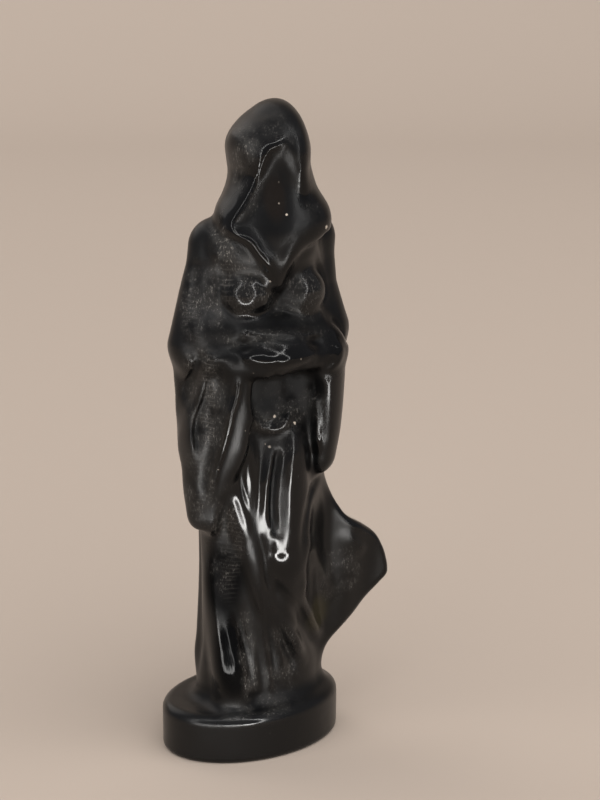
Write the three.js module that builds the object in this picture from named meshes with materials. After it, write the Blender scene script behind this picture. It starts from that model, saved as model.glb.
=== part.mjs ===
// A veiled, hooded figurine carved with its oval plinth from one piece of polished black stone.
// Millimetres, +Z up. The origin is the middle of the plinth's flat underside, the figure
// faces -Y, and the cloth of its train blows to +X, the figure's own left.
import * as THREE from 'three';

// overall height
const HEIGHT = 110;

// oval plinth: half-length, half-depth, height, and its turn under the figure in degrees
const PLINTH_LENGTH = 16.0;
const PLINTH_DEPTH = 11.5;
const PLINTH_HEIGHT = 8.3;
const PLINTH_TURN = 10;
const PLINTH_TOP_ROUND = 1.7;
const PLINTH_FOOT_ROUND = 0.8;

// the figure stands a little forward of the plinth's middle
const FIGURE_X = -0.9;
const FIGURE_Y = -2.1;

// gown and torso, level by level: height, middle x, middle y, half-width, half-depth
const GOWN = [
  [5, 2.2, 1.6, 11, 8.6], [12, 1.8, 1.3, 10.4, 7.4], [20, 1.8, 0.9, 9.7, 6.8], [30, 1.8, 0.4, 9.7, 7],
  [40, 1.9, 0.2, 9.9, 7.5], [50, 1.9, 0.4, 9.4, 7], [58, 1.9, 0.6, 8.6, 6.4], [66, 1.9, 0.8, 7.8, 6.2],
];
const TORSO = [
  [60, 1.9, 0.8, 7.8, 6.4], [68, 1.9, 0.8, 8.0, 6.2], [76, 2.1, 0.6, 9.0, 6.8],
  [84, 2.6, 0.6, 9.6, 6.8], [92, 3.0, 0.6, 7.4, 6.0],
];

// hanging sleeves: height, middle x, middle y, half-length, half-thickness, turn in degrees
const RIGHT_SLEEVE = [
  [72, -5.6, -3.8, 6.4, 3, -52], [62, -6.2, -4.2, 5.8, 2.8, -52], [55, -6.9, -3.8, 5.4, 2.7, -50],
  [48, -8.1, -3, 4.5, 2.5, -48], [42, -8.7, -2.6, 2.9, 2.2, -45], [36, -8.8, -2.6, 2.2, 2, -45],
];
const LEFT_SLEEVE = [
  [73, 11.8, -5, 5.2, 3.3, 70], [64, 12.1, -4.9, 5, 2.9, 70], [56, 11.9, -4.6, 4.4, 2.6, 70],
  [49, 11.4, -4.2, 3.4, 2.1, 70], [44, 11.2, -4.2, 2.8, 1.8, 70],
];

// hood: two rounded crowns, and the cloth that falls from them to the collar
const CROWN_BACK = [[3.7, 0.6, 99.2], [5.5, 6.6, 9.1]];
const CROWN_FRONT = [[4.1, -0.9, 101.4], [5.4, 8.8, 8.3]];
const COWL = [
  [106, 3, -0.8, 5.7, 6.4], [102, 3.2, -0.8, 6.2, 7.8], [100, 3.2, -0.8, 5.9, 7.9],
  [98, 3.6, -0.9, 5.9, 8.1], [95, 3.9, -1.1, 7.6, 8.4], [92.5, 3.7, -1.5, 8.9, 8.7],
  [90, 3.3, -1.9, 9.2, 8.9], [87, 2.8, -2, 7.6, 8.6], [84, 2.5, -2, 5, 8.3], [81, 2.3, -2, 3.4, 8],
];
// the lobe where the hood's edge swells out beside the veil
const LOBE = [[8.2, -5.2, 90.6], [3.6, 4.2, 3.6]];
// outline of the hood's opening seen from the front, as x and z
const OPENING = [
  [3.7, 103.7], [1, 102.6], [-0.1, 100.2], [-1.2, 96.6], [-3.2, 93.5], [-4.6, 91.1], [-3.6, 89.5],
  [-1.9, 88.2], [-0.4, 85.5], [0.8, 83], [1.8, 82.4], [2.6, 83.3], [3.2, 86.1], [5.8, 87.9], [9.2, 89.3],
  [9.8, 90.6], [9.2, 92], [7.1, 96], [5.7, 100.5],
];
// the veil: a gently curved face that slopes forward going down and looks to the right
const VEIL_MIDDLE = 3.7;
const VEIL_TOP = 103;
const VEIL_TOP_Y = -6.5;
const VEIL_LEAN = 0.2;
const VEIL_TURN = -0.3;
const VEIL_CURVE = 44;
// the veil never lies deeper than this behind the hood's own surface, by height
const VEIL_DEPTH = [
  [80, 0.6], [84, 0.8], [88, 1.2], [94, 1.6], [98, 1.8], [102, 1.6], [106, 1],
];

// edge of the train, as height and x
const TRAIN_EDGE = [
  [6, 13.4], [11, 13.6], [14, 14.6], [17, 17.2], [19.5, 20], [22, 22.2], [24.5, 24], [27, 26.1],
  [29, 26.4], [31.5, 25.5], [34, 23.6], [36.2, 21], [38, 18.4], [40, 16.6], [42.5, 15.2], [46, 13.6],
  [54, 11],
];

// drapery below the waist, as points and radii: two narrow folds over the right thigh, the rolled
// edge beside them, the round fold that hangs in the middle, and the fold over the right foot
const DRAPERY = [
  [
    [-5.3, -3.6, 52, 1.2], [-4.6, -4.7, 48, 1.7], [-3.9, -4.7, 45, 1.9], [-3, -4.9, 41.4, 1.9],
    [-2.1, -5.1, 38, 1.8], [-1.3, -5.3, 34, 1.7], [-0.5, -5.3, 30.8, 1.7], [0.7, -5.2, 27.4, 1.6],
    [2.4, -5.1, 24.6, 1.5], [4.6, -4.8, 21.4, 1.4], [6.6, -4.2, 17.8, 1.2], [7.6, -2.8, 14.6, 1],
  ],
  [
    [-2.4, -4.6, 57, 1], [-2.1, -5.6, 53.1, 1.2], [-1.9, -5.7, 48.8, 1.2], [-1.6, -5.6, 45, 1.1],
    [-1.4, -5, 41, 0.9],
  ],
  [
    [2, -5.9, 54, 0.9], [1.4, -6.2, 50.6, 1], [0.8, -6.2, 47.7, 1], [0.5, -6.15, 44.4, 1.1],
    [0.4, -5.75, 41.4, 1.5], [0.6, -5.8, 38.4, 1.6], [1, -6.4, 34.6, 1.2], [1.5, -6.6, 31, 1],
    [1.9, -5.6, 27, 0.9],
  ],
  [
    [5.9, -2, 61.5, 2.4], [5.4, -3.9, 57.5, 2.9], [5.3, -4.4, 53, 3.5], [4.9, -4.6, 48.6, 3.8],
    [4.6, -4.7, 44.4, 4], [4.3, -4.9, 40.4, 4.1], [4.2, -5, 36.6, 4.1],
  ],
  [
    [-6.6, 0.6, 33, 1.2], [-6, -0.8, 28.4, 1.9], [-5.1, -1.2, 21.4, 3.1], [-4.5, -1.5, 17.5, 3.7],
    [-4.4, -2, 14.4, 3.8], [-4.4, -1.6, 11, 3.4], [-4.4, -1, 7, 3],
  ],
];

// folds of the cloth: line as x and z, height (a groove is negative), width on each side,
// share of its length that fades in and out, and how far back it reaches
const FOLDS = [
  { line: [[-7.2, 87.5], [-7, 83.6], [-7.4, 79.3], [-6.4, 76.2], [-5, 74.4]],
    height: 0.5, sides: [2.4, 1.1], fade: [0.25, 0.25], back: 2 },
  { line: [[9.2, 86], [11.2, 83.6], [12.4, 80.5], [12.4, 77.8], [10.6, 75.2]],
    height: 0.6, sides: [0.7, 1.6], fade: [0.25, 0.25], back: 2 },
  { line: [[-5.3, 74.6], [-0.9, 74], [1.7, 74.1], [4.4, 73.7], [10.2, 72.6]],
    height: 0.55, sides: [0.9, 0.9], fade: [0.15, 0.15], back: 2 },
  { line: [[-9.1, 71.9], [-4.9, 71.9], [0.3, 71.5], [6.4, 71.3], [10, 71.2]],
    height: -0.45, sides: [1, 1], fade: [0.25, 0.2], back: 2 },
  { line: [[-9.1, 70.9], [-10.1, 68.6], [-10.4, 65.7], [-10.9, 62.9], [-11, 60.1]],
    height: -0.6, sides: [0.8, 0.8], fade: [0.15, 0.35], back: 4 },
  { line: [[-8.3, 71], [-8.9, 65.9], [-10, 61.1], [-11, 55.4], [-11.5, 49.4]],
    height: 0.9, sides: [1.3, 0.8], fade: [0.12, 0.3], back: 4 },
  { line: [[-8, 70.6], [-8.6, 65.4], [-9.1, 62.7], [-9.9, 59.5], [-10.9, 52.9]],
    height: -0.7, sides: [0.7, 0.8], fade: [0.12, 0.35], back: 4 },
  { line: [[-7.3, 71], [-7.9, 66.5], [-8.5, 62.5], [-9.1, 60.1], [-10.2, 54.2]],
    height: 0.55, sides: [0.7, 0.9], fade: [0.12, 0.35], back: 4 },
  { line: [[-6.2, 65.6], [-7.5, 60.1], [-8.7, 54.5], [-9.9, 48.9], [-10.7, 43.2]],
    height: 0.55, sides: [1.3, 1.2], fade: [0.2, 0.2], back: 4 },
  { line: [[-5.7, 67.9], [-6.7, 62.1], [-7.9, 56.7], [-9, 50.8], [-9.5, 44.8]],
    height: -0.45, sides: [1, 0.8], fade: [0.2, 0.2], back: 4 },
  { line: [[-5, 67.6], [-5.5, 62.8], [-6.4, 58.7], [-8.2, 50.8], [-8.7, 44.1]],
    height: 0.7, sides: [0.9, 0.7], fade: [0.12, 0.3], back: 4 },
  { line: [[9.4, 63], [8.9, 61.5], [9, 59.3], [9.2, 54.6], [9.4, 51.8]],
    height: 0.6, sides: [0.7, 0.8], fade: [0.15, 0.3], back: 4 },
  { line: [[9.1, 65.8], [9.3, 62.7], [9.6, 59.7], [9.9, 56.6], [10.3, 53]],
    height: -0.45, sides: [0.9, 0.9], fade: [0.2, 0.25], back: 4 },
  { line: [[10.9, 66.5], [10.5, 64.3], [10.5, 62.1], [10.7, 55.6], [10.9, 52]],
    height: 0.45, sides: [0.9, 1], fade: [0.12, 0.3], back: 5 },
  { line: [[-2.6, 61.6], [-0.2, 57.6], [1.5, 57], [3.2, 57.5], [5.3, 61]],
    height: 0.5, sides: [1.2, 1.2], fade: [0.25, 0.25], back: 2 },
  { line: [[3, 54.2], [2.4, 51], [1.9, 48.5], [1.5, 41.7], [1.7, 38.5]],
    height: -0.6, sides: [0.5, 0.6], fade: [0.15, 0.25], back: 2 },
  { line: [[10.5, 50.6], [8.7, 43.4], [7.9, 40.2], [7.3, 36.7], [7.3, 26]],
    height: 0.5, sides: [1.6, 1.6], fade: [0.4, 0.6], back: 2 },
  { line: [[-8, 46], [-7.6, 35], [-7.4, 25], [-7.3, 20], [-7, 12]],
    height: 0.5, sides: [0.7, 1.6], fade: [0.2, 0.1], back: 2 },
  { line: [[-5.4, 28], [-4.6, 24.2], [-4.1, 21], [-3.5, 14], [-3.4, 11]],
    height: -0.7, sides: [0.8, 0.7], fade: [0.3, 0.2], back: 2 },
  { line: [[-3, 27], [-2.2, 22], [-1.6, 17.5], [-1.3, 13.5], [-1.2, 10]],
    height: 0.35, sides: [0.9, 1.2], fade: [0.5, 0.1], back: 2 },
  { line: [[-2.9, 34], [-1.7, 25.8], [-0.8, 20.6], [-0.1, 16.6], [0.5, 9.6]],
    height: 0.4, sides: [0.9, 0.6], fade: [0.7, 0.1], back: 2 },
  { line: [[-1.6, 32], [-0.6, 26.8], [0.5, 22.4], [1.4, 18], [2, 13.6]],
    height: -0.5, sides: [0.7, 0.8], fade: [0.4, 0.25], back: 2 },
  { line: [[-0.6, 30], [0.6, 26], [1.7, 22.5], [3.7, 15.4], [4.4, 12]],
    height: 0.5, sides: [0.9, 0.9], fade: [0.5, 0.2], back: 2 },
  { line: [[1.2, 26.6], [2.7, 23.1], [4.2, 19.5], [5.7, 15.8], [6.5, 12.7]],
    height: -0.45, sides: [0.8, 0.9], fade: [0.25, 0.2], back: 2 },
  { line: [[0.3, 33.9], [3.1, 28.8], [5.3, 26.2], [7.6, 22.9], [12.7, 13.8]],
    height: -0.6, sides: [1.2, 1.2], fade: [0.25, 0.25], back: 4 },
  { line: [[12.3, 46.4], [8.3, 44.2], [7.3, 42.1], [6.7, 39.5], [6.6, 32.7]],
    height: -0.75, sides: [0.8, 0.9], fade: [0.12, 0.3], back: 7 },
  { line: [[7.4, 33.5], [7.5, 30.2], [8.1, 26.7], [12.5, 17.9], [13.4, 15.2]],
    height: 0.6, sides: [1.2, 1.3], fade: [0.25, 0.25], back: 7 },
  { line: [[8.2, 39], [9.3, 36.1], [12.4, 31], [14.3, 24.8], [15.4, 22.2]],
    height: 0.6, sides: [1.3, 1.4], fade: [0.2, 0.25], back: 7 },
  { line: [[14.9, 38.2], [16.5, 36], [18.2, 34.3], [20.2, 32.5], [22.5, 30.8]],
    height: 0.7, sides: [1.6, 0.9], fade: [0.2, 0.25], back: 7 },
];

// size of one cell of the surface; the cells are taller than wide, as the folds run upright
const CELL = 1.3;
const CELL_TALL = 2.06;

const STONE = { color: 0x14130f, roughness: 0.16, metalness: 0 };

const degrees = Math.PI / 180;
const clamp = (v, a, b) => Math.min(Math.max(v, a), b);

// joins of two fields, which are negative inside and give millimetres outside
function join(a, b, k) {
  const h = Math.max(k - Math.abs(a - b), 0) / k;
  return Math.min(a, b) - h * h * k * 0.25;
}

function meet(a, b, k) {
  return -join(-a, -b, k);
}

function ease(t) {
  const s = clamp(t, 0, 1);
  return s * s * (3 - 2 * s);
}

// smooth value of one column at a level, between the rows of a table
function level(rows, column, at) {
  const last = rows.length - 1;
  const up = rows[0][0] < rows[last][0] ? rows : [...rows].reverse();
  const t = clamp(at, up[0][0], up[last][0]);
  let i = 0;
  while (i < last - 1 && up[i + 1][0] < t) i++;
  const rise = (j) => (up[j + 1][column] - up[j][column]) / (up[j + 1][0] - up[j][0]);
  const slope = (j) => {
    if (j === 0) return rise(0);
    if (j === last) return rise(last - 1);
    return rise(j) * rise(j - 1) <= 0 ? 0 : (rise(j) + rise(j - 1)) / 2;
  };
  const h = up[i + 1][0] - up[i][0];
  const s = (t - up[i][0]) / h;
  const a = (2 * s ** 3 - 3 * s ** 2 + 1) * up[i][column] + (s ** 3 - 2 * s ** 2 + s) * h * slope(i);
  return a + (3 * s ** 2 - 2 * s ** 3) * up[i + 1][column] + (s ** 3 - s ** 2) * h * slope(i + 1);
}

function oval(x, y, a, b) {
  const k = Math.hypot(x / a, y / b);
  return (k * (k - 1)) / Math.max(Math.hypot(x / a ** 2, y / b ** 2), 1e-3);
}

function egg([x, y, z], [middle, radii]) {
  const d = [x - middle[0], y - middle[1], z - middle[2]];
  const k = Math.hypot(d[0] / radii[0], d[1] / radii[1], d[2] / radii[2]);
  const g = Math.hypot(d[0] / radii[0] ** 2, d[1] / radii[1] ** 2, d[2] / radii[2] ** 2);
  return (k * (k - 1)) / Math.max(g, 1e-3);
}

// a column of ovals that follows a table, closed between two heights
function column([x, y, z], rows, low, high, round) {
  let dx = x - level(rows, 1, z);
  let dy = y - level(rows, 2, z);
  if (rows[0].length > 5) {
    const t = level(rows, 5, z) * degrees;
    [dx, dy] = [dx * Math.cos(t) + dy * Math.sin(t), dy * Math.cos(t) - dx * Math.sin(t)];
  }
  const side = oval(dx, dy, level(rows, 3, z), level(rows, 4, z));
  return meet(meet(side, z - high, round), low - z, round);
}

// a chain of round cones; each point is x, y, z and radius
function limb([x, y, z], points) {
  let d = 1e3;
  for (let i = 1; i < points.length; i++) {
    const [a, b] = [points[i - 1], points[i]];
    const run = [b[0] - a[0], b[1] - a[1], b[2] - a[2]];
    const along = (x - a[0]) * run[0] + (y - a[1]) * run[1] + (z - a[2]) * run[2];
    const t = clamp(along / (run[0] ** 2 + run[1] ** 2 + run[2] ** 2), 0, 1);
    const away = Math.hypot(x - a[0] - t * run[0], y - a[1] - t * run[1], z - a[2] - t * run[2]);
    d = Math.min(d, away - a[3] - t * (b[3] - a[3]));
  }
  return d;
}

// smooth line through points in a plane
function curveThrough(points, steps, closed) {
  const line = new THREE.CatmullRomCurve3(points.map(([x, z]) => new THREE.Vector3(x, 0, z)), closed);
  return line.getPoints(points.length * steps).map((p) => [p.x, p.z]);
}

function plinth([x, y, z]) {
  const round = z > PLINTH_HEIGHT / 2 ? PLINTH_TOP_ROUND : PLINTH_FOOT_ROUND;
  const t = PLINTH_TURN * degrees;
  const along = x * Math.cos(t) + y * Math.sin(t);
  const across = y * Math.cos(t) - x * Math.sin(t);
  const side = oval(along, across, PLINTH_LENGTH, PLINTH_DEPTH) + round;
  const tall = Math.abs(z - PLINTH_HEIGHT / 2) - PLINTH_HEIGHT / 2 + round;
  return Math.min(Math.max(side, tall), 0) + Math.hypot(Math.max(side, 0), Math.max(tall, 0)) - round;
}

function body(p) {
  return join(column(p, GOWN, 2, 68, 3), column(p, TORSO, 58, 91, 4), 3);
}

// upper arms close to the body, forearms folded so that the hands meet at the waist
function arms(p) {
  let d = limb(p, [[-4.7, 1, 87.1, 3.7], [11.3, 1, 87.6, 3.7]]);
  d = join(d, limb(p, [[-5.2, 1, 85.8, 4.0], [-9.1, -0.2, 70.6, 4.3]]), 2);
  d = join(d, limb(p, [[11.2, 1, 86, 3.6], [11.9, 0.4, 79, 3.9], [12.9, -0.2, 73.2, 4.5], [13, -0.6, 69, 3.9]]), 2);
  const right = limb(p, [[-8.4, -0.8, 69.8, 4], [-5, -6.2, 69.2, 3.2], [-0.8, -9.4, 68.9, 2.6], [3.4, -10.4, 69.4, 1.7]]);
  const left = limb(p, [[12.4, -1.6, 69.8, 3.8], [10.4, -7.4, 69.4, 2.9], [6.6, -9.4, 69.2, 2.1], [1.8, -10.2, 68.4, 1.6]]);
  const hands = egg(p, [[2.0, -9.2, 70.0], [6.6, 4.2, 3.0]]);
  const elbow = egg(p, [[10.6, -5.6, 69.6], [4.1, 4.8, 4.0]]);
  return join(d, join(join(right, left, 0.8), join(hands, elbow, 0.5), 0.8), 1.2);
}

function sleeves(p) {
  const right = column(p, RIGHT_SLEEVE, 39.6, 70, 3);
  const left = column(p, LEFT_SLEEVE, 48.2, 71, 3);
  const behindRight = limb(p, [[-8.4, 1.2, 70, 3.8], [-8.2, 2.2, 60, 3.0], [-7.2, 2.4, 47, 1.6]]);
  const behindLeft = limb(p, [[8.2, -3.2, 70, 3.6], [8.4, -2.9, 60, 3.2], [9.2, -2.0, 50, 2.2]]);
  return join(Math.min(right, left), join(behindRight, behindLeft, 1), 1.2);
}

function bust(p) {
  const right = egg(p, [[-1.8, -5.2, 79.3], [4.0, 3.9, 4.3]]);
  const left = egg(p, [[7.1, -5.2, 79.2], [4.2, 3.9, 4.3]]);
  const chest = egg(p, [[2.2, -3.0, 87.2], [8.6, 5.6, 6.0]]);
  return join(join(right, left, 1.6), chest, 2.0);
}

// roll of cloth under the bust, above the forearms, and the waist behind them
function sash(p) {
  const roll = [[-7.5, -3.2, 73.2, 3.2], [-2.4, -6.6, 73.4, 2.7], [3.5, -7.4, 73.6, 2.5]];
  const waist = [[-5, -4, 70.4, 3.6], [3, -5.8, 70.8, 3.4], [10, -4, 70.4, 3.6]];
  return join(limb(p, [...roll, [9, -5.6, 73.4, 2.7], [12.2, -2.4, 72.6, 3.2]]), limb(p, waist), 1.5);
}

function drapery(p) {
  if (p[1] > 4 || p[2] < 4 || p[2] > 66 || Math.abs(p[0]) > 13) return 1e3;
  return DRAPERY.map((line) => limb(p, line)).reduce((a, b) => join(a, b, 0.6));
}

// cloth blown to the figure's left: a rippled sheet, thinner to its edge
function train([x, y, z]) {
  const edge = level(TRAIN_EDGE, 1, z);
  const slope = (level(TRAIN_EDGE, 1, z + 0.3) - level(TRAIN_EDGE, 1, z - 0.3)) / 0.6;
  const ripple = 0.9 * Math.sin((x - 9.5) * 0.55 + (34 - z) * 0.05) * ease((x - 8) / 4);
  const middle = 2.4 + ripple - 1.6 * ease((x - 15) / 10) + 0.06 * (30 - z);
  const half = 2.6 - 1.1 * ease((x - 9) / 10);
  const round = 1.3;
  const out = (x - edge) / Math.hypot(1, slope) + round;
  const thick = (Math.abs(y - middle) - half + round) * 0.9;
  const sheet = Math.min(Math.max(out, thick), 0) + Math.hypot(Math.max(out, 0), Math.max(thick, 0)) - round;
  return meet(meet(meet(sheet, 4 - x, 2), z - 50, 3), 5 - z, 3);
}

// distance to the hood's opening in the front view, negative inside it
const openingLine = curveThrough(OPENING, 2, true);

function openingDistance(x, z) {
  let nearest = 1e6;
  let inside = false;
  for (let i = 1; i < openingLine.length; i++) {
    const [a, b] = [openingLine[i - 1], openingLine[i]];
    const run = [b[0] - a[0], b[1] - a[1]];
    const t = clamp(((x - a[0]) * run[0] + (z - a[1]) * run[1]) / (run[0] ** 2 + run[1] ** 2), 0, 1);
    nearest = Math.min(nearest, Math.hypot(x - a[0] - t * run[0], z - a[1] - t * run[1]));
    if (a[1] > z !== b[1] > z && x < a[0] + ((z - a[1]) * run[0]) / run[1]) inside = !inside;
  }
  return inside ? -nearest : nearest;
}

// the veil's surface as a distance back from the front
function veilFront(x, z) {
  const across = x - VEIL_MIDDLE;
  return VEIL_TOP_Y - VEIL_LEAN * (VEIL_TOP - z) + VEIL_TURN * across + across ** 2 / VEIL_CURVE;
}

// the hood with the veil set back in its opening, a rounded rim, and the collar's lower edge
function hood(p) {
  const [x, y, z] = p;
  const crown = join(egg(p, CROWN_BACK), egg(p, CROWN_FRONT), 2.5);
  const whole = join(join(crown, column(p, COWL, 82, 104, 4), 2), egg(p, LOBE), 2.5);
  if (Math.abs(x - 3) > 11 || z < 78 || y > 4 || Math.abs(whole) > 6) return whole;
  const m = openingDistance(x, z);
  const front = ease((1 - y) / 3);
  const left = ease((4.5 - x) / 3.5);
  const depth = level(VEIL_DEPTH, 1, z) * (1 - 0.75 * ease((x - 4) / 4));
  const veil = meet(join((veilFront(x, z) - y) * 0.92, whole + depth, 1.5), whole - 0.3, 1);
  const inside = ease((0.2 - m) / (1.2 + 1.8 * (1 - left))) * front;
  const rim = 0.5 * left * Math.exp(-((m - 0.5) ** 2)) * front;
  const shaped = (whole - rim) * (1 - inside) + veil * inside;
  const below = ease((90.4 - z) / 1.5) * ease((-y - 2) / 2);
  return below > 0 ? meet(shaped, (m - 1.3) * 0.7 * below - (1 - below) * 6, 0.8) : shaped;
}

// height of one fold over a point of the cloth
function foldHeight(fold, x, y, z) {
  let [nearest, side, along, run] = [1e6, 0, 0, 0];
  for (let i = 1; i < fold.points.length; i++) {
    const [a, b] = [fold.points[i - 1], fold.points[i]];
    const [u, w] = [b[0] - a[0], b[1] - a[1]];
    const length = Math.hypot(u, w);
    const t = clamp(((x - a[0]) * u + (z - a[1]) * w) / length ** 2, 0, 1);
    const away = Math.hypot(x - a[0] - t * u, z - a[1] - t * w);
    if (away < nearest) {
      nearest = away;
      side = u * (z - a[1]) - w * (x - a[0]);
      along = run + t * length;
    }
    run += length;
  }
  const width = fold.sides[side < 0 ? 0 : 1];
  const fade = ease(along / run / fold.fade[0]) * ease((1 - along / run) / fold.fade[1]);
  return fold.height * Math.exp(-((nearest / width) ** 2)) * fade * ease((fold.back - y) / 2);
}

for (const fold of FOLDS) {
  fold.points = curveThrough(fold.line, 3, false);
  const [xs, zs] = [fold.points.map((p) => p[0]), fold.points.map((p) => p[1])];
  fold.box = [Math.min(...xs) - 4, Math.max(...xs) + 4, Math.min(...zs) - 4, Math.max(...zs) + 4];
}

function folded(d, [x, y, z]) {
  if (Math.abs(d) > 3) return d;
  let out = d;
  for (const fold of FOLDS) {
    const [x0, x1, z0, z1] = fold.box;
    if (x > x0 && x < x1 && z > z0 && z < z1 && y < fold.back) out -= foldHeight(fold, x, y, z);
  }
  return out;
}

function figurine(point) {
  const p = [point[0] - FIGURE_X, point[1] - FIGURE_Y, point[2]];
  let d = join(body(p), arms(p), 2);
  d = join(d, sleeves(p), 1.4);
  d = join(d, bust(p), 2.2);
  d = join(d, sash(p), 1.2);
  d = join(d, drapery(p), 1.3);
  d = join(d, train(p), 5);
  d = join(folded(d, p), hood(p), 0.7);
  return join(d, plinth(point), 2.6);
}

function gradient(p) {
  const e = 0.05;
  return [0, 1, 2].map((a) => {
    const [more, less] = [[...p], [...p]];
    more[a] += e;
    less[a] -= e;
    return (figurine(more) - figurine(less)) / (2 * e);
  });
}

// the block that the figurine is cut from, as a grid of cells
const low = [-18, -17, -CELL_TALL / 2];
const step = [CELL, CELL, CELL_TALL];
const nx = Math.ceil(44 / CELL) + 1;
const ny = Math.ceil(31 / CELL) + 1;
const nz = Math.ceil((HEIGHT + 3) / CELL_TALL) + 1;
const at = (i, j, k) => (i * ny + j) * nz + k;
const place = (c) => c.map((v, a) => low[a] + v * step[a]);

function sample() {
  const value = new Float64Array(nx * ny * nz);
  for (let i = 0; i < nx; i++) {
    for (let j = 0; j < ny; j++) {
      for (let k = 0; k < nz; k++) value[at(i, j, k)] = figurine(place([i, j, k]));
    }
  }
  return value;
}

// fills the corners where two sides of a gap would touch along one edge
function closeGaps(value) {
  let changed = 0;
  for (const [p, q] of [[[1, 0, 0], [0, 1, 0]], [[1, 0, 0], [0, 0, 1]], [[0, 1, 0], [0, 0, 1]]]) {
    for (let i = 0; i < nx - 1; i++) {
      for (let j = 0; j < ny - 1; j++) {
        for (let k = 0; k < nz - 1; k++) {
          const a = at(i, j, k);
          const b = at(i + p[0], j + p[1], k + p[2]);
          const c = at(i + q[0], j + q[1], k + q[2]);
          const d = at(i + p[0] + q[0], j + p[1] + q[1], k + p[2] + q[2]);
          const [one, other] = [value[a] < 0 && value[d] < 0, value[b] < 0 && value[c] < 0];
          const filled = (one ? 1 : 0) + (other ? 1 : 0);
          if (filled !== 1) continue;
          const empty = one ? [b, c] : [a, d];
          if (value[empty[0]] < 0 || value[empty[1]] < 0) continue;
          value[value[empty[0]] < value[empty[1]] ? empty[0] : empty[1]] = -0.02;
          changed++;
        }
      }
    }
  }
  return changed;
}

// one vertex in each cell that the surface crosses, one quad for each crossed edge
function carve() {
  const value = sample();
  for (let round = 0; round < 6 && closeGaps(value) > 0; round++);
  const sums = new Map();
  const quads = [];
  for (let axis = 0; axis < 3; axis++) {
    const [b, c] = [(axis + 1) % 3, (axis + 2) % 3];
    for (let i = 1; i < nx - 1; i++) {
      for (let j = 1; j < ny - 1; j++) {
        for (let k = 0; k < nz - 1; k++) {
          const here = [i, j, k];
          const next = [...here];
          next[axis] += 1;
          const [f0, f1] = [value[at(...here)], value[at(...next)]];
          if (f0 < 0 === f1 < 0) continue;
          const cross = place(here);
          cross[axis] += (f0 / (f0 - f1)) * step[axis];
          const ring = [[-1, -1], [0, -1], [0, 0], [-1, 0]].map(([db, dc]) => {
            const cell = [...here];
            cell[b] += db;
            cell[c] += dc;
            const key = at(...cell);
            const sum = sums.get(key) ?? [0, 0, 0, 0];
            sums.set(key, [sum[0] + cross[0], sum[1] + cross[1], sum[2] + cross[2], sum[3] + 1]);
            return key;
          });
          quads.push(f0 < 0 ? ring : ring.reverse());
        }
      }
    }
  }
  return { sums, quads };
}

// draws a vertex onto the surface along the field's slope
function settle(start) {
  let p = start;
  for (let round = 0; round < 3; round++) {
    const g = gradient(p);
    const size = g[0] ** 2 + g[1] ** 2 + g[2] ** 2;
    const f = figurine(p) / Math.max(size, 0.05);
    const move = g.map((v) => -v * f);
    const most = Math.min(1, 0.3 / Math.max(Math.hypot(...move), 1e-9));
    p = p.map((v, a) => v + move[a] * most);
  }
  return [p[0], p[1], Math.max(p[2], 0)];
}

function solid() {
  const { sums, quads } = carve();
  const index = new Map();
  const positions = [];
  for (const [key, sum] of sums) {
    index.set(key, positions.length / 3);
    positions.push(...settle([sum[0] / sum[3], sum[1] / sum[3], sum[2] / sum[3]]));
  }
  const corner = (n) => new THREE.Vector3(positions[3 * n], positions[3 * n + 1], positions[3 * n + 2]);
  const faces = [];
  for (const quad of quads) {
    const [a, b, c, d] = quad.map((key) => index.get(key));
    const short = corner(a).distanceTo(corner(c)) < corner(b).distanceTo(corner(d));
    faces.push(...(short ? [a, b, c, a, c, d] : [a, b, d, b, c, d]));
  }
  const geometry = new THREE.BufferGeometry();
  geometry.setAttribute('position', new THREE.Float32BufferAttribute(positions, 3));
  geometry.setIndex(faces);
  geometry.computeVertexNormals();
  return geometry;
}

const object = new THREE.Group();
const figure = new THREE.Mesh(solid(), new THREE.MeshStandardMaterial(STONE));
figure.name = 'veiled_figure';
object.add(figure);

export default object;
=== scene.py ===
# A veiled, hooded figurine carved with its oval plinth from one piece of polished black stone.
# Metres for the finished mesh, millimetres for the form. The figure faces -Y, +Z is up, and
# the origin is the middle of the plinth's flat underside.
import math

import bpy
import numpy as np
from mathutils import Matrix, Vector


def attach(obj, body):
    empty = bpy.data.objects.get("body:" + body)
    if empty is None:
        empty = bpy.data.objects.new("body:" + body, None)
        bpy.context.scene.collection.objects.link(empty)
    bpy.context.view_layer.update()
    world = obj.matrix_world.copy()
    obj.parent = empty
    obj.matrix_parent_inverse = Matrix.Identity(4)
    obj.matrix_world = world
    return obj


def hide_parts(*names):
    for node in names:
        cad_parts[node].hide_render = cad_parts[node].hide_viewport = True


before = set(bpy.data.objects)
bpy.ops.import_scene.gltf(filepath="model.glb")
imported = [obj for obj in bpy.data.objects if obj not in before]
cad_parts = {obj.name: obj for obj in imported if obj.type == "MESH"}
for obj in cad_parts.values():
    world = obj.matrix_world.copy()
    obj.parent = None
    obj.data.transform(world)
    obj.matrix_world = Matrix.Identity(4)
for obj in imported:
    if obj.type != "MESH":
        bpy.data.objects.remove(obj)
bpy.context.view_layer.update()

# shape

PLINTH_LENGTH, PLINTH_DEPTH, PLINTH_HEIGHT = 16.0, 11.5, 8.3
PLINTH_TURN = math.radians(10)
PLINTH_TOP_ROUND, PLINTH_FOOT_ROUND = 1.7, 0.8

# the figure stands a little forward of the plinth's middle
FIGURE_X, FIGURE_Y = -0.9, -2.1

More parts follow.
